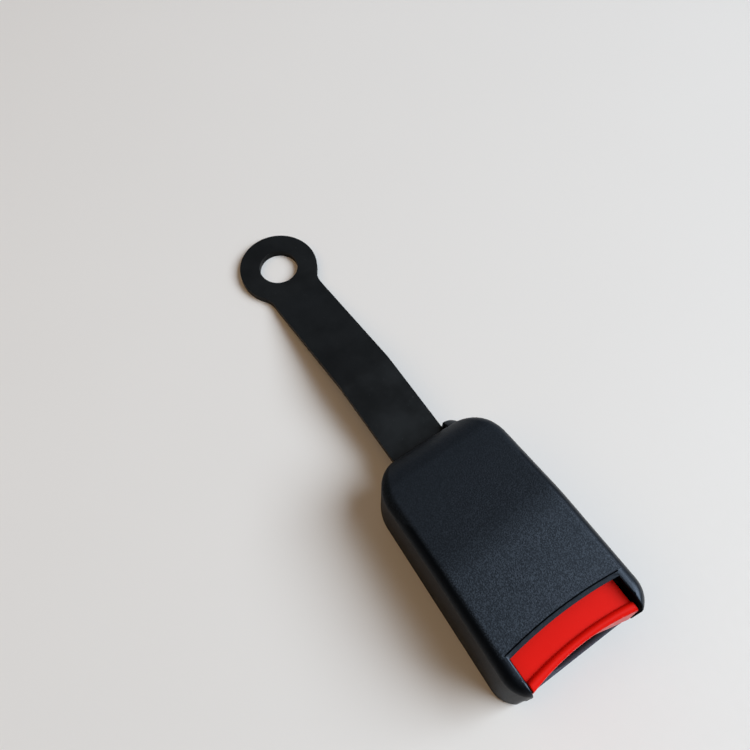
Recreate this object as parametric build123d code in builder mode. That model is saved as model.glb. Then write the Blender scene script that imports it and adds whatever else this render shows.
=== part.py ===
"""Seat belt buckle on a rigid anchor strap, one solid per real piece.

Frame: origin at the centre of the anchor eye on the plane that the buckle lies on, +X from the eye to
the button, +Y across the strap, +Z up.  All sizes are in millimetres.
"""

from build123d import *
from math import cos, radians, sin
import os

os.makedirs("parts", exist_ok=True)

# ---------------------------------------------------------------- anchor strap
hole_r = 6.25  # clears an M12 anchor bolt
eye_r = 12.8
strap_w = 17.2
strap_t = 2.5
strap_lift = 8.8  # underside of the level run
neck_r = 7.0  # concave corners where the eye runs into the bar
bend_r = 14.0
rise_start_x = 13.0
rise_end_x = 51.6
strap_end_x = 103.0
strap_mid_z = strap_lift + strap_t / 2

# -------------------------------------------------------------------- housing
rear_x = 80.2
front_x = 148.9
front_draft = 0.06  # the front face leans back by this much per millimetre of height
body_h = 26.0
part_z = 13.0  # the two covers meet here
front_half_w = 20.9
rear_half_w = 18.8  # the straight sides draw in from the front to this at the rear
rear_corner_r = 12.2
front_corner_r = 7.5
front_hollow = 1.5  # the front bows back by this much between the two arms
front_hollow_half_w = 17.5
rear_lean = 1.5  # the rear face leans forward over the upper cover's height
rear_round_r = 9.0
slope_x = 113.0  # behind this the roof falls towards the strap
slope_fall = 0.125
slope_knee_r = 60.0
top_round_r = 3.0
wall_t = 2.0
top_t = 1.6
floor_t = 2.0
front_wall_t = 3.2  # thicker than the others because of the hollow front
base_chamfer = 0.9

window_half_w = 16.8
window_x = 137.1
window_crown = 1.1  # the window's rear edge bows back by this much
window_bevel = 1.1
window_bevel_drop = 0.35

button_wall_x = 141.3
button_wall_l = 5.0
button_wall_y = 17.8
button_wall_z = 23.5
roof_rib_x = 112.0
roof_rib_l = 12.0
roof_rib_y = 4.5

collar_x = 78.1
collar_l = 12.0
collar_near_y = -7.6
collar_far_y = 12.9  # the collar stands out beside the strap on this side only
collar_corner_r = 2.6
collar_z = 1.6  # the collar's underside
mouth_half_w = 9.4  # opening that the strap enters by
mouth_h = 0.8

sill_z = 8.6
slot_half_w = 15.6
pad_xs = (97.0, 131.0)
pad_y = 12.6
pad_w = 3.6
pad_rear_x = 88.0
pad_rear_y = 7.0
rail_xs = (110.5, 118.0, 128.0)
rail_y = 16.4
rail_w = 3.0
guide_x0 = 139.3
guide_x1 = 145.0
guide_half_w = 15.2
guide_top_z = 12.9

tab_w = 2.2  # square locating tabs of the upper cover and their sockets
tab_foot_z = 6.0
tab_root_z = 21.5
socket_w = 4.6
socket_clear = 0.05
tab_places = ((88.2, 12.6), (88.2, -12.6), (141.5, 18.3), (141.5, -18.3))

# ----------------------------------------------------------------- steel frame
plate_t = 2.2
base_top_z = strap_lift
base_z = base_top_z - plate_t
frame_half_w = 14.8
frame_rear_x = 83.5
frame_front_x = 139.0
wall_rear_x = 92.0
wall_step_x = 128.0  # the side walls are high behind this and low in front of it
wall_top_z = 20.1
wall_low_z = 12.4
frame_in = frame_half_w - plate_t
tail_half_w = 9.6
wing_win_x0 = 110.9
wing_win_x1 = 117.8
wing_win_z0 = 12.0
wing_win_z1 = 18.5
tab_x = 106.5
tab_l = 3.0
tab_drop = 1.5
keel_slot_x0 = 104.4
nose_win_x1 = 125.3
rivet_xs = (87.0, 96.5)
rivet_r = 2.6
rivet_head_r = 3.9
rivet_head_h = 1.4

# ----------------------------------------------------------------------- latch
pivot_x = 103.0
pivot_z = 16.6
pivot_r = 1.5
latch_t = 2.0
latch_z = 12.8
latch_half_w = frame_in - 0.3
nose_x = 121.8
nose_t = 2.2
nose_half_w = 4.5
nose_bottom_z = 7.6
wing_x0 = 112.0
wing_x1 = 116.0
wing_half_w = 17.0
latch_rear_x = 100.4
flange_r = 2.6
pin_head_r = 2.3
pin_head_t = 1.2
pin_tail = 1.5

# --------------------------------------------------------------------- button
cap_half_w = 16.1
lip_half_w = 16.2
cap_rear_x = 130.0
cap_top_z = 22.6
cap_t = 1.5
lip_top_z = 24.6
lip_front_x = 145.6
lip_rear_x = 143.4
lip_hollow = 1.5  # how far the lip's front bows back in the middle
lip_bow = 1.3
button_bottom_z = 13.4
lip_round_r = 0.7
lip_chamfer = 0.45
cap_rib_half_w = 10.5
cap_rib_top_z = 24.1

leg_in = frame_half_w + 0.3
leg_out = 17.3
leg_z = 9.6
rail_top_z = 12.5
cross_x0 = 135.5
cross_x1 = 138.5
ramp_x0 = 116.6
ramp_x1 = 121.8
ramp_top_z = 15.7
rail_rear_x = 107.0
slide_top_z = 20.8

# --------------------------------------------------------------------- ejector
eject_z = base_top_z + 0.2
eject_top_z = 11.7
prong_in = 5.4
prong_out = 8.6
prong_front_x = 134.0
yoke_x0 = 116.5
yoke_x1 = 121.0
keel_half_w = 2.3
foot_x0 = 117.0
foot_x1 = 120.6
foot_z = 2.8
foot_top_z = base_z - 0.2
foot_half_w = 10.8

# --------------------------------------------------------------------- springs
button_spring_y = 7.5
button_spring_z = 22.2
button_spring_r = 1.5
button_wire_r = 0.3
bridge_x0 = 104.0
bridge_x1 = 114.0
bridge_t = 1.2
bridge_top_z = 24.0
bridge_flange_half_w = 10.5
eject_spring_y = 8.6
eject_spring_z = 4.5
eject_spring_r = 1.6
eject_wire_r = 0.3
eject_seat_x = 94.0
latch_spring_x = 109.6
latch_spring_r = 2.2
latch_wire_r = 0.35
steps_per_turn = 8


def save(part, name):
    """Name a finished piece and write it to its own file."""
    part.label = name
    export_step(part, "parts/" + name + ".step")


# --------------------------------------------------------- form of the housing
def housing_profile(inset, roof, base, front):
    """Side view of the housing: leaning ends, flat roof falling to a round rear."""
    inner_h = body_h - roof
    rear_top = (rear_x + rear_lean + inset, inner_h - slope_fall * (slope_x - rear_x))
    knee = (slope_x, inner_h)
    with BuildSketch(Plane.XZ) as side_view:
        with BuildLine():
            Polyline(
                (rear_x + inset, base),
                (rear_x + inset, part_z),
                rear_top,
                knee,
                (front_x - front - front_draft * inner_h, inner_h),
                (front_x - front - front_draft * base, base),
                close=True,
            )
        make_face()
        fillet(side_view.vertices().sort_by_distance(rear_top)[0], rear_round_r - roof)
        fillet(side_view.vertices().sort_by_distance(knee)[0], slope_knee_r)
    return side_view.sketch


def housing_plan(inset):
    """Plan of the housing: straight sides that draw in to a rear with round corners."""
    with BuildSketch() as outline:
        with BuildLine():
            rear = rear_x + inset
            Polyline(
                (front_x, 0),
                (front_x, front_half_w - inset),
                (rear, rear_half_w - inset),
                (rear, 0),
            )
            mirror(about=Plane.XZ)
        make_face()
        fillet(outline.vertices().group_by(Axis.X)[0], rear_corner_r - inset)
    return outline.sketch


def housing_form(inset=0.0, roof=0.0, base=0.0, front=0.0):
    """The whole housing as one block, or with insets the space inside it."""
    with BuildPart() as form:
        with BuildSketch():
            add(housing_plan(inset))
        extrude(amount=body_h)
        side_view = housing_profile(inset, roof, base, front)
        extrude(side_view, amount=front_half_w + 1, both=True, mode=Mode.INTERSECT)
        front_corners = form.edges().filter_by_position(Axis.X, front_x - 6, front_x)
        fillet(front_corners.filter_by(lambda e: e.length > part_z and abs(e.center().Y) > 5), front_corner_r - inset)
    return form.part


with BuildPart() as housing_block:
    add(housing_form())
    side_faces = housing_block.faces().filter_by(lambda f: f.bounding_box().min.Z < part_z)
    roof_faces = housing_block.faces() - side_faces
    roof_rim = roof_faces.edges().filter_by(
        lambda e: any(e.is_same(other) for other in side_faces.edges()) and e.center().Z > part_z + 0.5
    )
    fillet(roof_rim, top_round_r)
    # hollow front below the window
    hollow_r = (front_hollow_half_w**2 + front_hollow**2) / (2 * front_hollow)
    front_plane = Plane(origin=(front_x, 0, 0), x_dir=(1, 0, front_draft), z_dir=(-front_draft, 0, 1))
    with BuildSketch(front_plane.offset(-1)):
        with Locations((hollow_r - front_hollow, 0)):
            Circle(hollow_r)
    extrude(amount=part_z + 1.5, mode=Mode.SUBTRACT)
    chamfer(housing_block.faces().sort_by(Axis.Z)[0].edges(), base_chamfer)

housing_space = housing_form(wall_t, top_t, floor_t, front_wall_t)

# ----------------------------------------------------------------- upper cover
with BuildPart() as upper_cover:
    add(housing_block.part)
    split(bisect_by=Plane.XY.offset(part_z), keep=Keep.TOP)
    # hollow inside
    add(housing_space, mode=Mode.SUBTRACT)
    # window for the button, open at the front
    with BuildSketch(Plane.XY.offset(part_z)) as window:
        with BuildLine():
            rear_arc = ThreePointArc(
                (window_x, -window_half_w),
                (window_x - window_crown, 0),
                (window_x, window_half_w),
            )
            Polyline(
                rear_arc @ 1,
                (front_x + 5, window_half_w),
                (front_x + 5, -window_half_w),
                rear_arc @ 0,
            )
        make_face()
    extrude(amount=body_h, mode=Mode.SUBTRACT)
    roof_face = upper_cover.faces().sort_by(Axis.Z)[-1]
    window_rim = roof_face.edges().filter_by_position(Axis.X, window_x - 3, front_x)
    rear_rim = window_rim.filter_by(lambda e: abs((e @ 0.5).Y) < 2)
    chamfer(rear_rim, window_bevel, window_bevel_drop, reference=roof_face)
    # mouth over the strap
    with BuildSketch(Plane.XY.offset(part_z)):
        with Locations((rear_x, 0)):
            Rectangle(2 * wall_t + 1, 2 * mouth_half_w)
    extrude(amount=mouth_h, mode=Mode.SUBTRACT)
    # walls beside the button
    with BuildSketch(Plane.XY.offset(part_z)):
        with Locations((button_wall_x, button_wall_y), (button_wall_x, -button_wall_y)):
            Rectangle(button_wall_l, 2 * (button_wall_y - window_half_w))
    extrude(amount=button_wall_z - part_z)
    # ribs that stiffen the roof and hold the spring bridge down
    with BuildSketch(Plane.XY.offset(bridge_top_z + 0.1)):
        with Locations((roof_rib_x, roof_rib_y), (roof_rib_x, -roof_rib_y)):
            Rectangle(roof_rib_l, 1.2)
    extrude(amount=top_t / 2)
    # locating tabs that drop into the lower cover's sockets
    with BuildSketch(Plane.XY.offset(tab_foot_z)):
        with Locations(*tab_places):
            Rectangle(tab_w, tab_w)
    extrude(amount=tab_root_z - tab_foot_z)

save(upper_cover.part, "upper_cover")

# ----------------------------------------------------------------- lower cover
with BuildPart() as lower_cover:
    add(housing_block.part)
    split(bisect_by=Plane.XY.offset(part_z), keep=Keep.BOTTOM)
    # collar under and beside the strap
    with BuildSketch(Plane.XY.offset(collar_z)) as collar:
        with Locations((collar_x + collar_l / 2, (collar_near_y + collar_far_y) / 2)):
            Rectangle(collar_l, collar_far_y - collar_near_y)
        fillet(collar.vertices().group_by(Axis.X)[0], collar_corner_r)
    extrude(amount=part_z - collar_z)
    add(housing_space, mode=Mode.SUBTRACT)
    # channel that the strap lies in, open to the rear
    with BuildSketch(Plane.XY.offset(strap_lift - 0.3)):
        with Locations((collar_x + 1, 0)):
            Rectangle(12, 2 * mouth_half_w)
    extrude(amount=part_z, mode=Mode.SUBTRACT)
    # tongue slot through the front wall
    with BuildSketch(Plane.XY.offset(sill_z)):
        with Locations((front_x, 0)):
            Rectangle(14, 2 * slot_half_w)
    extrude(amount=part_z, mode=Mode.SUBTRACT)
    # pads that carry the frame
    with BuildSketch(Plane.XY.offset(floor_t)):
        with Locations(*[(x, y) for x in pad_xs for y in (-pad_y, pad_y)]):
            Rectangle(pad_w, pad_w)
        with Locations(*[(pad_rear_x, y) for y in (-pad_rear_y, pad_rear_y)]):
            Rectangle(pad_w, pad_w)
    extrude(amount=base_z - floor_t)
    # sockets for the upper cover's tabs
    with BuildSketch(Plane.XY.offset(floor_t)):
        with Locations(*tab_places):
            Rectangle(socket_w, socket_w)
        add(housing_plan(wall_t / 2), mode=Mode.INTERSECT)
    extrude(amount=part_z - floor_t - 1.0)
    with BuildSketch(Plane.XY.offset(floor_t + 1.0)):
        with Locations(*tab_places):
            Rectangle(tab_w + 2 * socket_clear, tab_w + 2 * socket_clear)
    extrude(amount=part_z, mode=Mode.SUBTRACT)
    # rails that the release slide's legs run on
    with BuildSketch(Plane.XY.offset(floor_t)):
        with Locations(*[(x, y) for x in rail_xs for y in (-rail_y, rail_y)]):
            Rectangle(1.4, rail_w)
    extrude(amount=leg_z - 0.15 - floor_t)
    # seat behind the ejector springs
    with BuildSketch(Plane.XY.offset(floor_t)):
        with Locations((eject_seat_x - 1, -eject_spring_y), (eject_seat_x - 1, eject_spring_y)):
            Rectangle(2, 6)
    extrude(amount=base_z - 0.1 - floor_t)
    with BuildSketch(Plane.YZ.offset(eject_seat_x)):
        with Locations((-eject_spring_y, eject_spring_z), (eject_spring_y, eject_spring_z)):
            Circle(eject_spring_r - eject_wire_r - 0.15)
    extrude(amount=2.5)

save(lower_cover.part, "lower_cover")

# ---------------------------------------------------------------- anchor strap
with BuildSketch(Plane.XZ) as strap_profile:
    with BuildLine():
        FilletPolyline(
            (-eye_r - 1, strap_t / 2),
            (rise_start_x, strap_t / 2),
            (rise_end_x, strap_mid_z),
            (strap_end_x, strap_mid_z),
            radius=bend_r,
        )
    trace(line_width=strap_t)

with BuildPart() as anchor_strap:
    with BuildSketch() as strap_plan:
        Circle(eye_r)
        with Locations((strap_end_x / 2, 0)):
            Rectangle(strap_end_x, strap_w)
        necks = strap_plan.vertices().filter_by_position(Axis.X, 5, 12)
        fillet(necks, neck_r)
        tail = strap_plan.vertices().group_by(Axis.X)[-1]
        fillet(tail, 3.0)
        Circle(hole_r, mode=Mode.SUBTRACT)
        with Locations(*[(x, 0) for x in rivet_xs]):
            Circle(rivet_r + 0.05, mode=Mode.SUBTRACT)
    extrude(amount=strap_mid_z + strap_t)
    extrude(strap_profile.sketch, amount=eye_r + 1, both=True, mode=Mode.INTERSECT)

save(anchor_strap.part, "anchor_strap")

# ---------------------------------------------------------------- steel frame
with BuildPart() as frame_channel:
    # U section, full height
    with BuildSketch(Plane.YZ.offset(frame_rear_x)) as channel:
        with BuildLine():
            FilletPolyline(
                (-frame_half_w + plate_t / 2, wall_top_z),
                (-frame_half_w + plate_t / 2, base_z + plate_t / 2),
                (frame_half_w - plate_t / 2, base_z + plate_t / 2),
                (frame_half_w - plate_t / 2, wall_top_z),
                radius=plate_t / 2 + 0.1,
            )
        trace(line_width=plate_t)
    extrude(amount=frame_front_x - frame_rear_x)
    # the walls' side outline
    with BuildSketch(Plane.XZ) as wall_outline:
        with BuildLine():
            Polyline(
                (frame_rear_x, base_z - 1),
                (frame_rear_x, base_top_z),
                (wall_rear_x, base_top_z),
                (wall_rear_x + 4, wall_top_z),
                (wall_step_x, wall_top_z),
                (wall_step_x + 2.5, wall_low_z),
                (frame_front_x, wall_low_z),
                (frame_front_x, base_z - 1),
                close=True,
            )
        make_face()
        corners = wall_outline.vertices().filter_by_position(Axis.Y, base_top_z + 1, body_h)
        fillet(corners, 1.2)
    extrude(amount=frame_half_w + 1, both=True, mode=Mode.INTERSECT)
    # narrow tail that the strap is riveted to
    with BuildSketch(Plane.XY.offset(base_z - 1)):
        with Locations((frame_rear_x, frame_half_w), (frame_rear_x, -frame_half_w)):
            Rectangle(2 * (wall_rear_x - frame_rear_x), 2 * (frame_half_w - tail_half_w))
    extrude(amount=plate_t + 3, mode=Mode.SUBTRACT)
    # windows for the latch's wings, notches for the bridge's tabs, pivot holes
    with BuildSketch(Plane.XZ) as side_cuts:
        with Locations(((wing_win_x0 + wing_win_x1) / 2, (wing_win_z0 + wing_win_z1) / 2)):
            Rectangle(wing_win_x1 - wing_win_x0, wing_win_z1 - wing_win_z0)
        with Locations((tab_x, wall_top_z)):
            Rectangle(tab_l + 0.1, 2 * tab_drop)
        with Locations((pivot_x, pivot_z)):
            Circle(pivot_r + 0.03)
    extrude(amount=frame_half_w + 1, both=True, mode=Mode.SUBTRACT)
    # slot for the ejector's keel and window for the latch's nose
    with BuildSketch(Plane.XY.offset(base_z - 1)):
        with Locations(((keel_slot_x0 + yoke_x1) / 2, 0)):
            Rectangle(yoke_x1 - keel_slot_x0 + 2, 2 * keel_half_w + 0.6)
        with Locations(((yoke_x1 + nose_win_x1) / 2, 0)):
            Rectangle(nose_win_x1 - yoke_x1, 2 * nose_half_w + 1.4)
        with Locations(*[(x, 0) for x in rivet_xs]):
            Circle(rivet_r + 0.05)
    extrude(amount=plate_t + 2, mode=Mode.SUBTRACT)

save(frame_channel.part, "frame_channel")

# --------------------------------------------------------------------- rivets
def solid_rivet(x, grip_lo, grip_hi):
    """Solid rivet along Z with a flat head at each end."""
    with BuildPart() as rivet:
        with BuildSketch(Plane.XZ.shift_origin((x, 0, 0))):
            with BuildLine():
                Polyline(
                    (0, grip_hi + rivet_head_h),
                    (rivet_head_r, grip_hi + rivet_head_h),
                    (rivet_head_r, grip_hi),
                    (rivet_r, grip_hi),
                    (rivet_r, grip_lo),
                    (rivet_head_r, grip_lo),
                    (rivet_head_r, grip_lo - rivet_head_h),
                    (0, grip_lo - rivet_head_h),
                    close=True,
                )
            make_face()
        revolve(axis=Axis((x, 0, 0), (0, 0, 1)))
    return rivet.part


for rivet_x, rivet_name in zip(rivet_xs, ("strap_rivet_rear", "strap_rivet_front")):
    save(solid_rivet(rivet_x, base_z, strap_lift + strap_t), rivet_name)

# --------------------------------------------------------------- tongue guide
with BuildPart() as tongue_guide:
    with BuildSketch(Plane.XY.offset(floor_t)):
        with Locations(((guide_x0 + guide_x1) / 2, 0)):
            Rectangle(guide_x1 - guide_x0, 2 * guide_half_w)
    extrude(amount=guide_top_z - floor_t)
    # funnel for the tongue, wider at the mouth
    with BuildSketch(Plane.XY.offset(base_top_z - 0.05)) as funnel:
        with BuildLine():
            Polyline(
                (guide_x0, -frame_in),
                (guide_x0, frame_in),
                (guide_x1, frame_in + 1.0),
                (guide_x1, -frame_in - 1.0),
                close=True,
            )
        make_face()
    extrude(amount=body_h, mode=Mode.SUBTRACT)
    # lead-in down to the sill
    with BuildSketch(Plane.XZ) as lead_in:
        with BuildLine():
            Polyline(
                (guide_x1 - 3.5, base_top_z),
                (guide_x1 + 1, base_top_z),
                (guide_x1 + 1, sill_z - 0.1),
                (guide_x1, sill_z - 0.1),
                close=True,
            )
        make_face()
    extrude(amount=frame_in, both=True, mode=Mode.SUBTRACT)
    # cored out from below
    with BuildSketch(Plane.XY.offset(floor_t)):
        with Locations(((guide_x0 + guide_x1) / 2, 0)):
            with GridLocations(0, 9.6, 1, 3):
                Rectangle(guide_x1 - guide_x0 - 2.4, 7.6)
    extrude(amount=4.0, mode=Mode.SUBTRACT)

save(tongue_guide.part, "tongue_guide")

# ---------------------------------------------------------------------- latch
with BuildPart() as latch_plate:
    # plate, wings and the neck of the nose in plan
    with BuildSketch(Plane.XY.offset(latch_z)) as latch_plan:
        with BuildLine():
            Polyline(
                (latch_rear_x, -latch_half_w),
                (wing_x0, -latch_half_w),
                (wing_x0, -wing_half_w),
                (wing_x1, -wing_half_w),
                (wing_x1, -latch_half_w),
                (nose_x - 3.5, -nose_half_w - 1.2),
                (nose_x, -nose_half_w),
                (nose_x + nose_t, -nose_half_w),
                (nose_x + nose_t, 0),
                (latch_rear_x, 0),
                close=True,
            )
        make_face()
        mirror(about=Plane.XZ)
    extrude(amount=latch_t)
    # nose, bent down, its front face raked so that a tongue lifts it
    with BuildSketch(Plane.XZ) as nose:
        with BuildLine():
            Polyline(
                (nose_x, latch_z + latch_t),
                (nose_x + nose_t, latch_z + latch_t),
                (nose_x + nose_t, nose_bottom_z + 3.4),
                (nose_x + 0.7, nose_bottom_z),
                (nose_x, nose_bottom_z),
                close=True,
            )
        make_face()
    extrude(amount=nose_half_w, both=True)
    # flanges bent up round the pivot
    with BuildSketch(Plane.XZ) as flange:
        with BuildLine():
            Polyline(
                (latch_rear_x, latch_z),
                (wing_x0 - 0.5, latch_z),
                (wing_x0 - 0.5, latch_z + latch_t),
                (pivot_x + flange_r, pivot_z - 0.5),
                (pivot_x + flange_r, pivot_z + flange_r),
                (latch_rear_x, pivot_z + flange_r),
                close=True,
            )
        make_face()
        fillet(flange.vertices().group_by(Axis.Y)[-1], flange_r * 0.8)
    extrude(amount=latch_half_w, both=True)
    with BuildSketch(Plane.XZ) as between_flanges:
        with Locations((latch_rear_x + 5, latch_z + latch_t + 5)):
            Rectangle(24, 10)
    extrude(amount=latch_half_w - latch_t, both=True, mode=Mode.SUBTRACT)
    with BuildSketch(Plane.XZ):
        with Locations((pivot_x, pivot_z)):
            Circle(pivot_r + 0.06)
    extrude(amount=latch_half_w + 1, both=True, mode=Mode.SUBTRACT)

save(latch_plate.part, "latch_plate")

with BuildPart() as latch_pivot_pin:
    with BuildSketch(Plane.XZ.offset(-frame_half_w - pin_tail)):
        with Locations((pivot_x, pivot_z)):
            Circle(pivot_r)
    extrude(amount=2 * frame_half_w + pin_tail)
    with BuildSketch(Plane.XZ.offset(frame_half_w)):
        with Locations((pivot_x, pivot_z)):
            Circle(pin_head_r)
    extrude(amount=pin_head_t)
    chamfer(latch_pivot_pin.faces().sort_by(Axis.Y)[-1].edges(), 0.3)

save(latch_pivot_pin.part, "latch_pivot_pin")

with BuildPart() as pivot_clip:
    with BuildSketch(Plane.XZ.offset(-frame_half_w - 0.75)):
        with Locations((pivot_x, pivot_z)):
            Circle(pin_head_r)
            Circle(pivot_r + 0.02, mode=Mode.SUBTRACT)
        with Locations((pivot_x - pin_head_r, pivot_z)):
            Rectangle(2 * (pin_head_r - pivot_r) + 1, 1.6, mode=Mode.SUBTRACT)
    extrude(amount=0.6)

save(pivot_clip.part, "pivot_clip")

# -------------------------------------------------------------- spring bridge
with BuildPart() as spring_bridge:
    with BuildSketch(Plane.XY.offset(wall_top_z)):
        with Locations(((bridge_x0 + bridge_x1) / 2, 0)):
            Rectangle(bridge_x1 - bridge_x0, 2 * frame_half_w)
    extrude(amount=bridge_t)
    # front flange that the button springs push on
    with BuildSketch(Plane.XY.offset(wall_top_z)):
        with Locations((bridge_x1 - bridge_t / 2, 0)):
            Rectangle(bridge_t, 2 * bridge_flange_half_w)
    extrude(amount=bridge_top_z - wall_top_z)
    with BuildSketch(Plane.YZ.offset(bridge_x1)):
        with Locations((-button_spring_y, button_spring_z), (button_spring_y, button_spring_z)):
            Circle(button_spring_r - button_wire_r - 0.15)
    extrude(amount=2.0)
    # tabs that drop into the frame's notches, and the peg inside the latch spring
    with BuildSketch(Plane.XY.offset(wall_top_z)):
        with Locations((tab_x, frame_half_w - plate_t / 2), (tab_x, -frame_half_w + plate_t / 2)):
            Rectangle(tab_l, plate_t)
        with Locations((latch_spring_x, 0)):
            Circle(latch_spring_r - latch_wire_r - 0.2)
    extrude(amount=-tab_drop + 0.1)

save(spring_bridge.part, "spring_bridge")

# --------------------------------------------------------------------- button
with BuildPart() as press_button:
    # plate that slides back under the roof
    with BuildSketch(Plane.XY.offset(cap_top_z - cap_t)):
        with Locations(((cap_rear_x + lip_rear_x + 1) / 2, 0)):
            Rectangle(lip_rear_x + 1 - cap_rear_x, 2 * cap_half_w)
    extrude(amount=cap_t)
    # hollow-fronted lip across the front, leaning back with the covers
    with BuildSketch(Plane.XY.offset(button_bottom_z)) as lip_plan:
        with BuildLine():
            lip_back = ThreePointArc(
                (lip_rear_x, -lip_half_w),
                (lip_rear_x - lip_bow, 0),
                (lip_rear_x, lip_half_w),
            )
            lip_face = ThreePointArc(
                (lip_front_x, lip_half_w),
                (lip_front_x - lip_hollow, 0),
                (lip_front_x, -lip_half_w),
            )
            Line(lip_back @ 1, lip_face @ 0)
            Line(lip_face @ 1, lip_back @ 0)
        make_face()
    extrude(amount=lip_top_z - button_bottom_z)
    chamfer(press_button.faces().sort_by(Axis.Z)[-1].edges().filter_by(GeomType.CIRCLE), lip_chamfer)
    fillet(press_button.faces().sort_by(Axis.Z)[-1].edges().filter_by(GeomType.LINE), lip_round_r)
    # side skirts
    with BuildSketch(Plane.XY.offset(button_bottom_z)):
        with Locations((lip_rear_x - 1.4, cap_half_w - 0.75), (lip_rear_x - 1.4, -cap_half_w + 0.75)):
            Rectangle(4, 1.5)
    extrude(amount=cap_top_z - button_bottom_z - 0.5)
    # rear rib and pegs for the springs
    with BuildSketch(Plane.XY.offset(cap_top_z - cap_t)):
        with Locations((cap_rear_x + 0.7, 0)):
            Rectangle(1.4, 2 * cap_rib_half_w)
    extrude(amount=cap_rib_top_z - cap_top_z + cap_t)
    with BuildSketch(Plane.YZ.offset(cap_rear_x)):
        with Locations((-button_spring_y, button_spring_z), (button_spring_y, button_spring_z)):
            Circle(button_spring_r - button_wire_r - 0.15)
    extrude(amount=-2.0)

save(press_button.part, "press_button")

# -------------------------------------------------------------- release slide
with BuildPart() as release_slide:
    # cross wall behind the button's lip
    with BuildSketch(Plane.XY.offset(button_bottom_z)):
        with Locations(((cross_x0 + cross_x1) / 2, 0)):
            Rectangle(cross_x1 - cross_x0, 2 * leg_out)
    extrude(amount=cap_top_z - cap_t - button_bottom_z)
    # legs with the ramps that lift the latch's wings
    with BuildSketch(Plane.XZ) as leg_side:
        with BuildLine():
            Polyline(
                (rail_rear_x, leg_z),
                (cross_x1, leg_z),
                (cross_x1, slide_top_z),
                (ramp_x1, slide_top_z),
                (ramp_x1, ramp_top_z),
                (ramp_x0, rail_top_z),
                (rail_rear_x, rail_top_z),
                close=True,
            )
        make_face()
        fillet(leg_side.vertices().group_by(Axis.X)[0], 0.8)
    extrude(amount=leg_out, both=True)
    with BuildSketch(Plane.XZ):
        with Locations(((rail_rear_x + cross_x0) / 2 - 5, body_h / 2)):
            Rectangle(cross_x0 - rail_rear_x + 10, body_h)
    extrude(amount=leg_in, both=True, mode=Mode.SUBTRACT)
    # clear of the frame's low walls and of the tongue
    with BuildSketch(Plane.XZ):
        with Locations(((cross_x0 + cross_x1) / 2, button_bottom_z / 2)):
            Rectangle(cross_x1 - cross_x0 + 1, button_bottom_z)
    extrude(amount=leg_in, both=True, mode=Mode.SUBTRACT)

save(release_slide.part, "release_slide")

# -------------------------------------------------------------------- ejector
with BuildPart() as ejector:
    with BuildSketch(Plane.XY.offset(eject_z)) as fork:
        with Locations(((yoke_x0 + prong_front_x) / 2, 0)):
            Rectangle(prong_front_x - yoke_x0, 2 * prong_out)
        with Locations(((yoke_x1 + prong_front_x) / 2 + 1, 0)):
            Rectangle(prong_front_x - yoke_x1 + 2, 2 * prong_in, mode=Mode.SUBTRACT)
        fillet(fork.vertices().group_by(Axis.X)[-1], 0.8)
    extrude(amount=eject_top_z - eject_z)
    with BuildSketch(Plane.XY.offset(eject_z)):
        with Locations(((foot_x0 + foot_x1) / 2, 0)):
            Rectangle(foot_x1 - foot_x0, 2 * keel_half_w)
    extrude(amount=foot_top_z - eject_z)
    with BuildSketch(Plane.XY.offset(foot_top_z)):
        with Locations(((foot_x0 + foot_x1) / 2, 0)):
            Rectangle(1.6, 2.4)
    extrude(amount=-2.0)

save(ejector.part, "ejector")

with BuildPart() as ejector_foot:
    with BuildSketch(Plane.XY.offset(foot_z)):
        with Locations(((foot_x0 + foot_x1) / 2, 0)):
            Rectangle(foot_x1 - foot_x0, 2 * foot_half_w)
    extrude(amount=foot_top_z - foot_z)
    with BuildSketch(Plane.XY.offset(foot_top_z)):
        with Locations(((foot_x0 + foot_x1) / 2, 0)):
            Rectangle(1.7, 2.5)
    extrude(amount=-2.1, mode=Mode.SUBTRACT)
    with BuildSketch(Plane.YZ.offset(foot_x0)):
        with Locations((-eject_spring_y, eject_spring_z), (eject_spring_y, eject_spring_z)):
            Circle(eject_spring_r - eject_wire_r - 0.15)
    extrude(amount=-2.5)

save(ejector_foot.part, "ejector_foot")


# -------------------------------------------------------------------- springs
def coil_spring(foot, length, radius, wire_r, turns):
    """Compression spring along the plane's normal, its wire drawn as short straight runs."""
    steps = turns * steps_per_turn
    rise = (length - 2 * wire_r) / steps
    with BuildPart() as coil:
        with BuildLine(foot) as wire:
            Polyline(
                *[
                    (
                        radius * cos(radians(i * 360 / steps_per_turn)),
                        radius * sin(radians(i * 360 / steps_per_turn)),
                        wire_r + rise * i,
                    )
                    for i in range(steps + 1)
                ]
            )
        with BuildSketch(Plane(origin=wire.line @ 0, z_dir=wire.line % 0)):
            RegularPolygon(wire_r, 4)
        sweep(transition=Transition.RIGHT)
    return coil.part


for side, side_name in ((-1, "right"), (1, "left")):
    seat = Plane(origin=(bridge_x1, side * button_spring_y, button_spring_z), z_dir=(1, 0, 0))
    button_spring = coil_spring(seat, cap_rear_x - bridge_x1, button_spring_r, button_wire_r, 5)
    save(button_spring, "button_spring_" + side_name)
    seat = Plane(origin=(eject_seat_x, side * eject_spring_y, eject_spring_z), z_dir=(1, 0, 0))
    eject_spring = coil_spring(seat, foot_x0 - eject_seat_x, eject_spring_r, eject_wire_r, 6)
    save(eject_spring, "ejector_spring_" + side_name)

latch_top_z = latch_z + latch_t
seat = Plane(origin=(latch_spring_x, 0, latch_top_z), z_dir=(0, 0, 1))
latch_spring = coil_spring(seat, wall_top_z - latch_top_z, latch_spring_r, latch_wire_r, 3)
save(latch_spring, "latch_spring")
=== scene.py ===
"""Dresses the seat belt buckle: smooth skins, procedural materials, floor, light and camera."""

from math import cos, pi, radians, sin, sqrt

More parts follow.
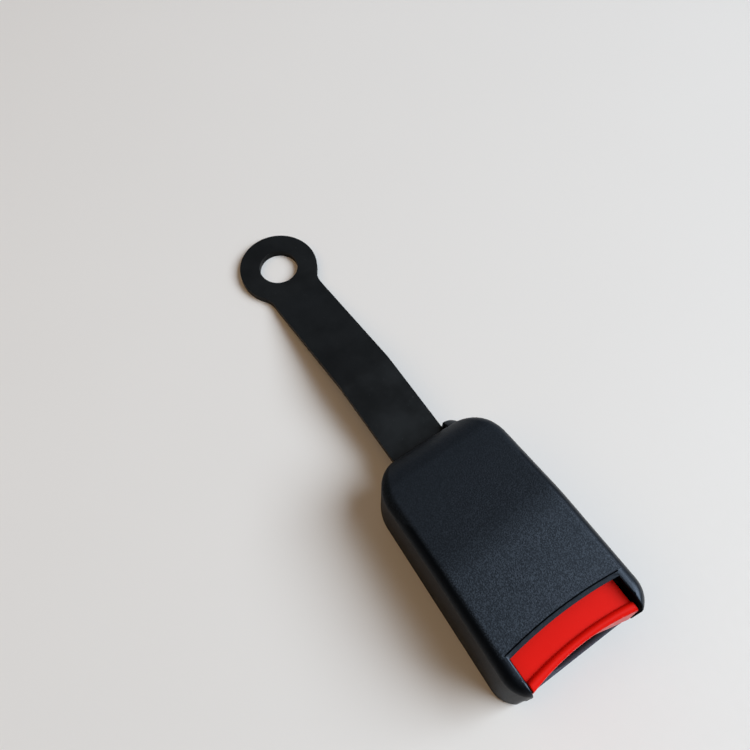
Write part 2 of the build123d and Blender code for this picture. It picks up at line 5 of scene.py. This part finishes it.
import bmesh
import bpy
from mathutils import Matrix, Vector


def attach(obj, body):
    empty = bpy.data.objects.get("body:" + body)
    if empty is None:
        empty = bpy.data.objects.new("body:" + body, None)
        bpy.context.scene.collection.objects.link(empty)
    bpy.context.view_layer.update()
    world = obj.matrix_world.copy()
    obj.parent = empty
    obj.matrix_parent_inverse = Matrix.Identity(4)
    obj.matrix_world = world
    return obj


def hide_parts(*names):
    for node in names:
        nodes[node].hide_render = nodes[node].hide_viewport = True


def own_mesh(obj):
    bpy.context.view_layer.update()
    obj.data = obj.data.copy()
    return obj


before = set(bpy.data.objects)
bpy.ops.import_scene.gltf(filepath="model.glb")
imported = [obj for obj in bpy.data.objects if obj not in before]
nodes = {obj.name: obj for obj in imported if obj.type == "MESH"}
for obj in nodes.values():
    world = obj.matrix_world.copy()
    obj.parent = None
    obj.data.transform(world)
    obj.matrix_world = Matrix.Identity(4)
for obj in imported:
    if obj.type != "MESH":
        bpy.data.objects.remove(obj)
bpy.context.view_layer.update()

MM = 0.001
scene = bpy.context.scene

# ------------------------------------------------------------------ dimensions, mm
top_z = 26.0
part_z = 13.0  # the covers meet here
window_x = 137.1  # rear corners of the button's window
window_half_w = 16.8
window_crown = 1.1  # the window's rear edge bows back by this much
rim_line_back = 1.2  # the fine line runs this far behind the window
rim_line_w = 0.32
rim_line_deep = 0.7
window_wall_x = 134.0  # the walls beside the button start here

round_end_x = 94.0  # the roof's rear rounding levels out between these two
roof_level_x = 100.0
faint_speck_x = 92.0  # the specks are faintest up to here, and at full strength ahead of the next
full_speck_x = 122.0

arm_relief_w = 0.35  # the relief along the arms' inner top edges
arm_relief_drop = 0.16
arm_curve_x = 142.6  # the arms' top edges curve down in front of this
arm_curve_l = 3.95
arm_curve_h = 3.0

sill_rear_x = 143.0
sill_front_x = 147.4
sill_half_w = 17.3
front_draft = 0.06  # the front leans back by this much for each millimetre up

lobe_x = 78.1  # rear end of the collar's lobe beside the strap
lobe_root_x = 84.0
lobe_near_y = 9.1
lobe_far_y = 13.2
lobe_corner_r = 3.9
lobe_low_z = 1.6
lobe_edge_z = 12.4
lobe_edge_w = 0.9  # the rounding of its top edge
lobe_edge_h = 1.3

strap_edge_r = 0.35

# the button: a red plate, its lip, a rib under the roof and a skirt below each side
plate_rear_x = 130.0
plate_top_z = 22.6
plate_t = 1.5
plate_low_z = plate_top_z - plate_t
plate_half_w = 16.1
plate_edge_r = 0.25
lip_half_w = 16.2
lip_top_z = 23.9
lip_rear_x = 143.3  # at the lip's ends, as is the front
lip_front_x = 145.95
lip_rear_bow = 1.3
lip_hollow = 1.85
lip_crest_x = 1.05  # from the crease at the lip's foot to its crest
lip_brow_h = 1.1
lip_lean = 0.05
lip_end_lean = 0.115
lip_end_r = 0.35
lip_foot_t = 1.6
lip_foot_bevel = 0.4
button_bottom_z = 13.4
rib_half_w = 10.5
rib_t = 1.4
rib_top_z = 24.1
skirt_rear_x = 139.9
skirt_front_x = 143.9
skirt_t = 1.5


def window_arc():
    """Radius and centre X of the arc along the window's rear edge."""
    radius = (window_half_w**2 + window_crown**2) / (2 * window_crown)
    return radius, window_x - window_crown + radius


# ------------------------------------------------------------------ material helpers
def new_material(name):
    """An empty node material: returns it, its tree and its shader."""
    material = bpy.data.materials.new(name)
    material.use_nodes = True
    tree = material.node_tree
    return material, tree, tree.nodes["Principled BSDF"]


def node(tree, kind, **settings):
    """One node; a setting is a property of the node, or a value or link for the input of that name."""
    made = tree.nodes.new(kind)
    for key, value in settings.items():
        if hasattr(made, key):
            setattr(made, key, value)
            continue
        numbered = key[0] == "i" and key[1:].isdigit()
        socket = made.inputs[int(key[1:]) if numbered else key.replace("_", " ")]
        if isinstance(value, bpy.types.NodeSocket):
            tree.links.new(value, socket)
        else:
            socket.default_value = value
    return made


def noise(tree, scale, detail=3.0, rough=0.55, stretch=(1, 1, 1)):
    """Noise in the object's own metres; its features are about 1/scale metres wide."""
    place = node(tree, "ShaderNodeTexCoord").outputs["Object"]
    spread = node(tree, "ShaderNodeMapping", Vector=place, Scale=stretch).outputs[0]
    made = node(tree, "ShaderNodeTexNoise", Vector=spread, Scale=scale, Detail=detail, Roughness=rough)
    return made.outputs["Fac"]


def ranged(tree, value, low, high, to_low, to_high):
    """A value mapped smoothly from one range to another."""
    made = node(
        tree,
        "ShaderNodeMapRange",
        interpolation_type="SMOOTHSTEP",
        Value=value,
        From_Min=low,
        From_Max=high,
        To_Min=to_low,
        To_Max=to_high,
    )
    return made.outputs[0]


def maths(tree, operation, a, b=0.0):
    return node(tree, "ShaderNodeMath", operation=operation, i0=a, i1=b).outputs[0]


def plus(tree, a, b):
    return maths(tree, "ADD", a, b)


def times(tree, a, b):
    return maths(tree, "MULTIPLY", a, b)


def surface_normal(tree):
    """The way the surface faces, and its X and Z shares."""
    normal = node(tree, "ShaderNodeNewGeometry").outputs["Normal"]
    forward, _, upward = node(tree, "ShaderNodeSeparateXYZ", Vector=normal).outputs
    return normal, forward, upward


def blend_colour(tree, share, low, high):
    made = node(tree, "ShaderNodeMix", data_type="RGBA", i0=share)
    for socket, value in ((made.inputs[6], low), (made.inputs[7], high)):
        if isinstance(value, bpy.types.NodeSocket):
            tree.links.new(value, socket)
        else:
            socket.default_value = (*value, 1.0)
    return made.outputs[2]


def bump(tree, height, depth, strength):
    """Surface relief from a height, its depth in millimetres."""
    return node(tree, "ShaderNodeBump", Height=height, Distance=depth * MM, Strength=strength).outputs[0]


def finish_with(tree, shader, colour, rough, normal, metallic=0.0, specular=0.5):
    """Sets a shader's finish; specular is a number, or a link where it varies over the surface."""
    shader.inputs["Metallic"].default_value = metallic
    for socket, value in (("Base Color", colour), ("Roughness", rough), ("Normal", normal)):
        tree.links.new(value, shader.inputs[socket])
    if isinstance(specular, bpy.types.NodeSocket):
        tree.links.new(specular, shader.inputs["Specular IOR Level"])
    else:
        shader.inputs["Specular IOR Level"].default_value = specular


# ------------------------------------------------------------------ materials
shoulder_black = (0.0014, 0.0017, 0.0021)
pit_black = (0.0036, 0.0044, 0.0054)
speck_black = (0.0080, 0.0098, 0.0120)
# painted shade: near black for the fine line's groove and the walls beside the button
painted_shade_black = (0.0006, 0.0007, 0.0009)
# painted light: the lighter grey of the sill's top
sill_painted_light_dark = (0.058, 0.058, 0.070)
sill_painted_light_bright = (0.076, 0.076, 0.092)


def painted_shade_side(tree, normal):
    """1 on the walls that face -Y and the rear, 0 elsewhere: these get less specular and more roughness, a
    painted shade on their reflections.
    """
    turned = node(tree, "ShaderNodeVectorMath", operation="DOT_PRODUCT", i0=normal, i1=(-0.3, -0.95, 0.0))
    return ranged(tree, turned.outputs["Value"], 0.04, 0.5, 0.0, 1.0)


def behind_line(tree, x, across):
    """Distance behind the fine line that follows the window, in metres."""
    radius, centre_x = window_arc()
    ahead = maths(tree, "SUBTRACT", x, centre_x * MM)
    squares = plus(tree, maths(tree, "POWER", ahead, 2.0), maths(tree, "POWER", across, 2.0))
    return maths(tree, "SUBTRACT", maths(tree, "SQRT", squares), (radius + rim_line_back) * MM)


def painted_shade_area(tree, x, across, upward, behind):
    """1 in the fine line's groove and on the walls beside the button, where painted shade goes, 0 elsewhere.
    """
    groove = ranged(tree, maths(tree, "ABSOLUTE", behind), 0.12 * MM, 0.28 * MM, 1.0, 0.0)
    within_line = ranged(tree, across, window_half_w * MM, (window_half_w + 0.7) * MM, 1.0, 0.0)
    groove = times(tree, groove, within_line)
    between_arms = ranged(tree, across, (window_half_w + 0.1) * MM, (window_half_w + 0.2) * MM, 1.0, 0.0)
    upright = ranged(tree, upward, 0.3, 0.6, 1.0, 0.0)
    ahead = ranged(tree, x, window_wall_x * MM, (window_wall_x + 1) * MM, 0.0, 1.0)
    walls = times(tree, times(tree, between_arms, upright), ahead)
    return maths(tree, "MAXIMUM", groove, walls)


def cover_plastic(name, has_window):
    """Black moulded plastic: spark-eroded grain on the flats, smooth and darker round the shoulders."""
    material, tree, shader = new_material(name)
    place = node(tree, "ShaderNodeTexCoord").outputs["Object"]
    x, y, _ = node(tree, "ShaderNodeSeparateXYZ", Vector=place).outputs
    across = maths(tree, "ABSOLUTE", y)
    normal, _, upward = surface_normal(tree)
    shaded_side_share = painted_shade_side(tree, normal)

    # the rear rounding keeps its grain, the shoulders lose it
    least = ranged(tree, x, round_end_x * MM, roof_level_x * MM, 0.30, 0.90)
    flat = ranged(tree, maths(tree, "SUBTRACT", upward, least), 0.0, 0.08, 0.0, 1.0)
    if has_window:
        # the arms beside the button and the strip behind it have no grain
        behind = behind_line(tree, x, across)
        grained = ranged(tree, behind, -0.05 * MM, 0.1 * MM, 0.0, 1.0)
        flat = times(tree, flat, grained)
        strip = ranged(tree, across, (window_half_w - 0.5) * MM, (window_half_w + 0.2) * MM, 0.24, 0.0)
        strip = times(tree, maths(tree, "SUBTRACT", 1.0, grained), strip)

    # pits and light specks, fainter towards the rear
    fine = noise(tree, 2900, 2.0, 0.55)
    cloud = noise(tree, 190, 3.0, 0.6)
    pits = node(tree, "ShaderNodeTexVoronoi", Vector=place, Scale=2500.0, Randomness=1.0).outputs["Distance"]
    grain = times(tree, plus(tree, times(tree, fine, 0.75), times(tree, pits, 0.45)), flat)
    speck = ranged(tree, fine, 0.40, 0.66, 0.0, 1.0)
    speck = times(tree, speck, ranged(tree, cloud, 0.3, 0.7, 0.75, 1.0))
    speck_strength = ranged(tree, x, faint_speck_x * MM, full_speck_x * MM, 0.35, 1.0)
    speck = plus(tree, 0.5, times(tree, maths(tree, "SUBTRACT", speck, 0.5), speck_strength))

    colour = blend_colour(tree, flat, shoulder_black, blend_colour(tree, speck, pit_black, speck_black))
    rough = plus(tree, ranged(tree, fine, 0.3, 0.7, -0.03, 0.04), ranged(tree, flat, 0.0, 1.0, 0.35, 0.47))
    # painted shade: walls facing -Y and the rear are rougher and reflect less
    rough = plus(tree, rough, times(tree, shaded_side_share, 0.22))
    sparkle = times(tree, times(tree, maths(tree, "SUBTRACT", speck, 0.5), flat), 0.42)
    polish = plus(tree, ranged(tree, shaded_side_share, 0.0, 1.0, 0.55, 0.16), sparkle)
    if has_window:
        # painted shade: the groove and the walls beside the button are made near black, and rougher
        painted_shade_share = painted_shade_area(tree, x, across, upward, behind)
        colour = blend_colour(tree, painted_shade_share, colour, painted_shade_black)
        rough = plus(tree, plus(tree, rough, times(tree, painted_shade_share, 0.4)), strip)
        polish = maths(tree, "SUBTRACT", polish, times(tree, strip, 0.7))
    else:
        # painted light: the sill's top is made a lighter grey for the light it catches below the lip
        ahead = ranged(tree, x, sill_rear_x * MM, (sill_rear_x + 0.5) * MM, 0.0, 1.0)
        sill = times(tree, ahead, ranged(tree, upward, 0.1, 0.4, 0.0, 1.0))
        colour = blend_colour(tree, sill, colour, blend_colour(tree, speck, sill_painted_light_dark, sill_painted_light_bright))
    relief = bump(tree, grain, 0.05, 0.8)
    finish_with(tree, shader, colour, rough, relief, specular=maths(tree, "MAXIMUM", polish, 0.0))
    # painted reflection: the reflections are tinted blue for the bluish window light they mirror
    shader.inputs["Specular Tint"].default_value = (0.66, 0.78, 0.97, 1.0)
    return material


def coated_steel(name):
    """Satin black dip coat on flat bar: orange peel, dust specks, and painted shade that darkens its sides
    and edges.
    """
    material, tree, shader = new_material(name)
    peel = noise(tree, 700, 3.0, 0.5)
    cloud = noise(tree, 90, 3.0, 0.6)
    specks = ranged(tree, noise(tree, 1900, 1.0, 0.4), 0.74, 0.8, 0.0, 1.0)
    _, _, upward = surface_normal(tree)
    face = ranged(tree, upward, 0.5, 0.9, 0.0, 1.0)
    colour = blend_colour(tree, cloud, (0.0055, 0.0060, 0.0064), (0.0085, 0.0092, 0.0098))
    colour = blend_colour(tree, times(tree, specks, 0.5), colour, (0.05, 0.055, 0.06))
    # painted shade: the bar's sides and edges are made near black and reflect less
    colour = blend_colour(tree, face, (0.0016, 0.0017, 0.0018), colour)
    rough = ranged(tree, cloud, 0.25, 0.75, 0.36, 0.46)
    polish = ranged(tree, cloud, 0.25, 0.75, 0.28, 0.42)
    polish = times(tree, polish, ranged(tree, face, 0.0, 1.0, 0.2, 1.0))
    finish_with(tree, shader, colour, rough, bump(tree, peel, 0.02, 0.45), specular=polish)
    # painted reflection: the reflections are tinted a little blue for the bluish window light they mirror
    shader.inputs["Specular Tint"].default_value = (0.86, 0.92, 0.97, 1.0)
    return material


def red_plastic(name):
    """Satin red moulding: faint flow marks, fine peel, a dusting of lint, and a painted highlight from more
    specular on faces turned to the front.
    """
    material, tree, shader = new_material(name)
    flow = noise(tree, 110, 3.0, 0.6, (1.0, 0.35, 1.0))
    peel = noise(tree, 1600, 2.0, 0.5)
    lint = ranged(tree, noise(tree, 2400, 1.0, 0.4), 0.76, 0.82, 0.0, 0.35)
    colour = blend_colour(tree, flow, (0.76, 0.0078, 0.0038), (0.83, 0.0108, 0.0056))
    colour = blend_colour(tree, lint, colour, (0.75, 0.06, 0.05))
    rough = ranged(tree, flow, 0.25, 0.75, 0.40, 0.48)
    _, forward, _ = surface_normal(tree)
    # painted highlight: faces turned to the front reflect more
    polish = ranged(tree, forward, 0.80, 0.98, 0.06, 0.7)
    finish_with(tree, shader, colour, rough, bump(tree, peel, 0.012, 0.4), specular=polish)
    return material


def plated_steel(name, colour, grain_along, rough_low):
    """Zinc-plated or drawn steel with directional scratches and a mottled plating."""
    material, tree, shader = new_material(name)
    scratches = noise(tree, 900, 4.0, 0.7, grain_along)
    mottle = noise(tree, 260, 4.0, 0.6)
    darker = tuple(c * 0.72 for c in colour)
    tint = blend_colour(tree, ranged(tree, mottle, 0.3, 0.7, 0.0, 1.0), darker, colour)
    rough = ranged(tree, scratches, 0.3, 0.7, rough_low, rough_low + 0.16)
    finish_with(tree, shader, tint, rough, bump(tree, scratches, 0.02, 0.5), metallic=1.0)
    return material


def acetal(name):
    """Dark acetal: waxy, with faint flow lines."""
    material, tree, shader = new_material(name)
    flow = noise(tree, 220, 3.0, 0.6, (0.4, 1.0, 1.0))
    fine = noise(tree, 2100, 2.0)
    colour = blend_colour(tree, flow, (0.016, 0.016, 0.017), (0.030, 0.030, 0.032))
    rough = ranged(tree, fine, 0.3, 0.7, 0.36, 0.46)
    finish_with(tree, shader, colour, rough, bump(tree, fine, 0.015, 0.4))
    return material


cover_black = cover_plastic("cover grain", has_window=True)
base_black = cover_plastic("cover side", has_window=False)
strap_black = coated_steel("strap coat")
button_red = red_plastic("button red")
zinc = plated_steel("zinc plate", (0.60, 0.60, 0.58), (0.15, 1.0, 1.0), 0.30)
spring_wire = plated_steel("spring wire", (0.45, 0.45, 0.46), (1.0, 1.0, 1.0), 0.22)
slide_dark = acetal("slide acetal")


# ------------------------------------------------------------------ mesh helpers
def new_object(name, bm, material, body, replaced=()):
    """Turns a bmesh in metres into a piece that rides on a body."""
    mesh = bpy.data.meshes.new(name)
    for face in bm.faces:
        face.smooth = True
    bm.normal_update()
    bm.to_mesh(mesh)
    bm.free()
    mesh.materials.append(material)
    piece = bpy.data.objects.new(name, mesh)
    scene.collection.objects.link(piece)
    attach(piece, body)
    if replaced:
        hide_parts(*replaced)
    return piece


def merged_copy(name, flatness=0.15):
    """A node's shape with its coplanar facets merged into whole faces; flatness is in degrees."""
    bm = bmesh.new()
    bm.from_mesh(nodes[name].data)
    for layers in (bm.loops.layers.float_vector, bm.loops.layers.uv):
        for layer in list(layers.values()):
            layers.remove(layer)
    bmesh.ops.remove_doubles(bm, verts=bm.verts, dist=0.001 * MM)
    bmesh.ops.dissolve_limit(bm, angle_limit=radians(flatness), verts=bm.verts, edges=bm.edges)
    return bm


def loft(sections, bm):
    """Closed skin through sections that all have as many points."""
    rings = [[bm.verts.new(Vector(p) * MM) for p in section] for section in sections]
    for a, b in zip(rings, rings[1:]):
        for i in range(len(a)):
            bm.faces.new((a[i], a[(i + 1) % len(a)], b[(i + 1) % len(a)], b[i]))
    for ring in (rings[0], rings[-1]):
        bm.faces.new(ring)
    return rings


def hard_edges(bm, angle):
    return [e for e in bm.edges if len(e.link_faces) == 2 and e.calc_face_angle(0) > radians(angle)]


def round_edges(bm, edges, width, segments=3):
    bmesh.ops.bevel(
        bm,
        geom=list(edges),
        offset=width * MM,
        segments=segments,
        profile=0.5,
        affect="EDGES",
        clamp_overlap=True,
    )


def even_shading(piece, angle=40):
    """Smooth shading that keeps flats flat."""
    piece.data.set_sharp_from_angle(angle=radians(angle))
    weighted = piece.modifiers.new("flat faces", "WEIGHTED_NORMAL")
    weighted.keep_sharp = True
    weighted.weight = 80


# ------------------------------------------------------------------ housing
def prism(sections):
    """A closed solid through sections given in millimetres, all with as many corners."""
    bm = bmesh.new()
    loft(sections, bm)
    bmesh.ops.recalc_face_normals(bm, faces=bm.faces)
    return bm


def rim_groove():
    """A thin curved wedge that cuts the fine line behind the window."""
    radius, centre_x = window_arc()
    line_r = radius + rim_line_back
    half = rim_line_w / 2
    foot = half * 0.7
    above = 0.2
    corners = ((-half, above), (half, above), (foot, -rim_line_deep), (-foot, -rim_line_deep))
    half_angle = (window_half_w + 0.6) / line_r
    steps = 40
    sections = []
    for i in range(steps + 1):
        angle = (2 * i / steps - 1) * half_angle
        section = []
        for out, up in corners:
            r = line_r + out
            section.append((centre_x - r * cos(angle), r * sin(angle), top_z + up))
        sections.append(section)
    return prism(sections)


def arm_relief(side):
    """A wedge that follows an arm's inner top edge and takes its sharpness off."""
    path = [(window_x - 0.9, top_z, 0.0), (arm_curve_x, top_z, 0.0)]
    for step in range(1, 10):
        turn = radians(10 * step)
        path.append((arm_curve_x + arm_curve_l * sin(turn), top_z - arm_curve_h * (1 - cos(turn)), turn))
    slope = arm_relief_w / arm_relief_drop
    above = 0.15
    beyond = 0.1
    corners = (
        (above, -beyond),
        (above, arm_relief_w + above * slope),
        (-arm_relief_drop - beyond / slope, -beyond),
    )
    sections = []
    for x, z, turn in path:
        section = []
        for up, out in corners:
            section.append((x + up * sin(turn), side * (window_half_w + out), z + up * cos(turn)))
        sections.append(section)
    return prism(sections)


def front_recess():
    """A leaning block that sets the sill back between the arms."""
    depth = 3
    sections = []
    for z in (-1.0, part_z + 0.5):
        x = sill_front_x - front_draft * z
        plan = ((x, -sill_half_w), (x + depth, -sill_half_w), (x + depth, sill_half_w), (x, sill_half_w))
        sections.append([(px, py, z) for px, py in plan])
    return prism(sections)


def collar_end():
    """A block that clears the plain end of the collar, for the rounded lobe."""
    rear, front = lobe_x - 1, lobe_x + 2
    low_y, high_y = lobe_near_y + 0.2, lobe_far_y + 0.8
    plan = ((rear, low_y), (front, low_y), (front, high_y), (rear, high_y))
    return prism([[(x, y, z) for x, y in plan] for z in (0.5, part_z + 1)])


def collar_lobe():
    """The lobe beside the strap: round in plan, its top running up into the roof."""
    low_bevel = 0.8
    ramp = 0.8
    ramp_l = 2.6
    ramp_h = 1.9
    steps = 14
    sections = []
    for i in range(steps + 1):
        y = lobe_near_y + (lobe_far_y - lobe_near_y) * sin(i / steps * pi / 2)
        past = max(0.0, y - (lobe_far_y - lobe_corner_r))
        rear = lobe_x + lobe_corner_r - sqrt(max(0.0, lobe_corner_r**2 - past**2))
        points = [
            (lobe_root_x, lobe_low_z),
            (rear + low_bevel, lobe_low_z),
            (rear, lobe_low_z + low_bevel),
            (rear, lobe_edge_z),
        ]
        for step in range(1, 6):
            turn = step * pi / 16
            points.append((rear + lobe_edge_w * (1 - cos(turn)), lobe_edge_z + lobe_edge_h * sin(turn)))
        edge_x, edge_z = points[-1]
        points += [(edge_x + run, edge_z + ramp * run) for run in (0.7, 1.5, 2.4)]
        points.append((max(lobe_root_x, edge_x + ramp_l), edge_z + ramp_h))
        sections.append([(x, y, z) for x, z in points])
    return prism(sections)


def cut(piece, tool_bm):
    """Takes a tool away from a piece and applies the result."""
    mesh = bpy.data.meshes.new("tool")
    tool_bm.to_mesh(mesh)
    tool_bm.free()
    tool = bpy.data.objects.new("tool", mesh)
    scene.collection.objects.link(tool)
    boolean = piece.modifiers.new("cut", "BOOLEAN")
    boolean.object = tool
    boolean.solver = "EXACT"
    bpy.context.view_layer.update()
    result = bpy.data.meshes.new_from_object(piece.evaluated_get(bpy.context.evaluated_depsgraph_get()))
    piece.modifiers.remove(boolean)
    piece.data = result
    bpy.data.objects.remove(tool)


upper_bm = merged_copy("upper_cover")
upper = new_object("cover_upper_skin", upper_bm, cover_black, "housing", ["upper_cover"])
for tool in (rim_groove(), arm_relief(1), arm_relief(-1)):
    cut(upper, tool)
even_shading(upper)

lower_bm = merged_copy("lower_cover")
lower = new_object("cover_lower_skin", lower_bm, base_black, "housing", ["lower_cover"])
for tool in (front_recess(), collar_end()):
    cut(lower, tool)
even_shading(lower)

lobe = new_object("cover_lobe", collar_lobe(), cover_black, "housing")
even_shading(lobe, 50)

# ------------------------------------------------------------------ strap
bm = merged_copy("anchor_strap", 0.02)
round_edges(bm, hard_edges(bm, 50), strap_edge_r, 3)
strap = new_object("strap_bar", bm, strap_black, "housing", ["anchor_strap"])
even_shading(strap)


# ------------------------------------------------------------------ button
def end_share(y):
    """How far a station lies towards the lip's ends, from 0 in the middle to 1, smoothly."""
    share = min(1.0, max(0.0, (abs(y) - 4.0) / 9.0))
    return share * share * (3 - 2 * share)


def lip_section(y):
    """Side view of the lip at a station across it: quick rise to a low dome, hollow leaning front."""
    bow = 1 - (y / lip_half_w) ** 2
    front = lip_front_x - lip_hollow * bow
    rear = lip_rear_x - lip_rear_bow * bow
    points = []
    for t in (0, 0.03, 0.08, 0.16, 0.28, 0.42, 0.6, 0.8, 1):
        height = (lip_top_z - plate_top_z) * sqrt(1 - (1 - t) ** 2.2)
        points.append((rear + lip_crest_x * t, plate_top_z + height))
    ahead = front - points[-1][0]
    for turn in (0.3, 0.6, 0.9, 1.15, 1.35):
        points.append((front - ahead * (1 - sin(turn)), lip_top_z - lip_brow_h * (1 - cos(turn))))
    brow_x, brow_z = points[-1]
    depth = brow_z - button_bottom_z
    lean = lip_lean + (lip_end_lean - lip_lean) * end_share(y)
    points += [(brow_x + lean * depth * t, brow_z - depth * t) for t in (0.1, 0.3, 0.6, 0.96)]
    foot_x = brow_x + lean * depth
    points += [
        (foot_x - lip_foot_bevel, button_bottom_z),
        (foot_x - lip_foot_t + 0.3, button_bottom_z),
        (foot_x - lip_foot_t, button_bottom_z + lip_foot_bevel),
        (front - 1.4, plate_low_z),
        (rear, plate_low_z),
    ]
    return points


def block(bm, low, high):
    """A small closed block inside a larger piece, such as a rib or a skirt."""
    plan = ((low[0], low[1]), (high[0], low[1]), (high[0], high[1]), (low[0], high[1]))
    loft([[(x, y, z) for x, y in plan] for z in (low[2], high[2])], bm)


def edges_at(bm, axis, place):
    """The hard edges whose ends both lie at a place along an axis, on either side of it."""
    return [e for e in hard_edges(bm, 60) if all(abs(abs(v.co[axis]) / MM - place) < 0.001 for v in e.verts)]


bm = bmesh.new()
stations = 56
across = [lip_half_w * (2 * i / stations - 1) for i in range(stations + 1)]
loft([[(x, y, z) for x, z in lip_section(y)] for y in across], bm)
block(bm, (plate_rear_x, -plate_half_w, plate_low_z), (lip_rear_x + 0.2, plate_half_w, plate_top_z))
for side in (-1, 1):
    near_y, far_y = sorted((side * (plate_half_w - skirt_t), side * (plate_half_w - 0.02)))
    block(bm, (skirt_rear_x, near_y, button_bottom_z), (skirt_front_x, far_y, plate_top_z - 0.5))
block(
    bm,
    (plate_rear_x + 0.02, -rib_half_w, plate_low_z + 0.05),
    (plate_rear_x + rib_t, rib_half_w, rib_top_z),
)
bmesh.ops.recalc_face_normals(bm, faces=bm.faces)
round_edges(bm, edges_at(bm, 1, lip_half_w), lip_end_r, 3)
round_edges(bm, edges_at(bm, 2, plate_top_z), plate_edge_r, 2)
button = new_object("button_skin", bm, button_red, "button", ["press_button"])
even_shading(button, 50)


# ------------------------------------------------------------------ springs
def coil(name):
    """A coil spring made from its node's mesh, in spring wire, with its own copy of the mesh."""
    spring_bm = merged_copy(name, 0.01)
    spring = new_object(name + "_coil", spring_bm, spring_wire, "housing", [name])
    spring.data.set_sharp_from_angle(angle=radians(50))
    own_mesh(spring)


for side in ("left", "right"):
    coil("button_spring_" + side)
    coil("ejector_spring_" + side)
coil("latch_spring")


# ------------------------------------------------------------------ carried-over nodes
def dress(name, material):
    """Gives a material to a node that is shown as it is."""
    mesh = nodes[name].data
    mesh.materials.clear()
    mesh.materials.append(material)


for name in (
    "frame_channel",
    "latch_plate",
    "spring_bridge",
    "latch_pivot_pin",
    "strap_rivet_rear",
    "strap_rivet_front",
):
    dress(name, zinc)
dress("pivot_clip", spring_wire)
for name in ("release_slide", "ejector", "ejector_foot", "tongue_guide"):
    dress(name, slide_dark)

# ------------------------------------------------------------------ floor
material, tree, shader = new_material("table")
cloud = noise(tree, 9, 2.0, 0.5)
fine = noise(tree, 420, 3.0, 0.6)
colour = blend_colour(tree, cloud, (0.815, 0.795, 0.775), (0.845, 0.825, 0.805))
rough = ranged(tree, fine, 0.3, 0.7, 0.5, 0.62)
finish_with(tree, shader, colour, rough, bump(tree, fine, 0.05, 0.12), specular=0.3)
bm = bmesh.new()
bmesh.ops.create_grid(bm, x_segments=8, y_segments=8, size=2.5)
mesh = bpy.data.meshes.new("table_top")
bm.to_mesh(mesh)
bm.free()
mesh.materials.append(material)
table_top = bpy.data.objects.new("table_top", mesh)
scene.collection.objects.link(table_top)

# ------------------------------------------------------------------ light
dim_side = Vector((0.2, -0.6, 0.77))  # the room is darker this way
lamp_aim = Vector((90.0, 0.0, 0.0)) * MM

world = bpy.data.worlds.new("room")
scene.world = world
world.use_nodes = True
tree = world.node_tree
way = node(tree, "ShaderNodeTexCoord").outputs["Generated"]
towards = node(tree, "ShaderNodeVectorMath", operation="DOT_PRODUCT", i0=way, i1=dim_side).outputs["Value"]
share = ranged(tree, towards, -0.1, 0.6, 0.0, 1.0)
sky = blend_colour(tree, share, (0.14, 0.165, 0.20), (0.032, 0.030, 0.028))
tree.links.new(sky, tree.nodes["Background"].inputs["Color"])


def softbox(name, azimuth, elevation, distance, size, power, colour):
    """A square light that faces the housing: angles in degrees, distance and size in metres."""
    light = bpy.data.lights.new(name, "AREA")
    light.size = size
    light.energy = power
    light.color = colour
    lamp = bpy.data.objects.new(name, light)
    turn, rise = radians(azimuth), radians(elevation)
    lamp.location = lamp_aim + distance * Vector((cos(rise) * cos(turn), cos(rise) * sin(turn), sin(rise)))
    lamp.rotation_mode = "QUATERNION"
    lamp.rotation_quaternion = (lamp_aim - lamp.location).to_track_quat("-Z", "Y")
    scene.collection.objects.link(lamp)
    return lamp


softbox(
    "window",
    azimuth=54,
    elevation=48,
    distance=1.7,
    size=1.25,
    power=35.0,
    colour=(0.83, 0.92, 1.0),
)
fill = softbox(
    "room",
    azimuth=235,
    elevation=62,
    distance=1.6,
    size=1.7,
    power=7.0,
    colour=(1.0, 0.66, 0.36),
)
fill.visible_glossy = False  # warm bounce that leaves no highlight of its own

# ------------------------------------------------------------------ camera
camera_at = Vector((129.49, -48.67, 200.52)) * MM
camera_aim = Vector((49.94, 4.98, 0.0)) * MM
camera_data = bpy.data.cameras.new("camera")
camera_data.lens = 34.18
camera_data.sensor_width = 36.0
camera_data.clip_start = 0.01
camera = bpy.data.objects.new("camera", camera_data)
camera.location = camera_at
camera.rotation_mode = "QUATERNION"
camera.rotation_quaternion = (camera_aim - camera_at).to_track_quat("-Z", "Y")
scene.collection.objects.link(camera)
scene.camera = camera

scene.view_settings.view_transform = "Standard"
scene.view_settings.look = "None"

bpy.context.view_layer.update()
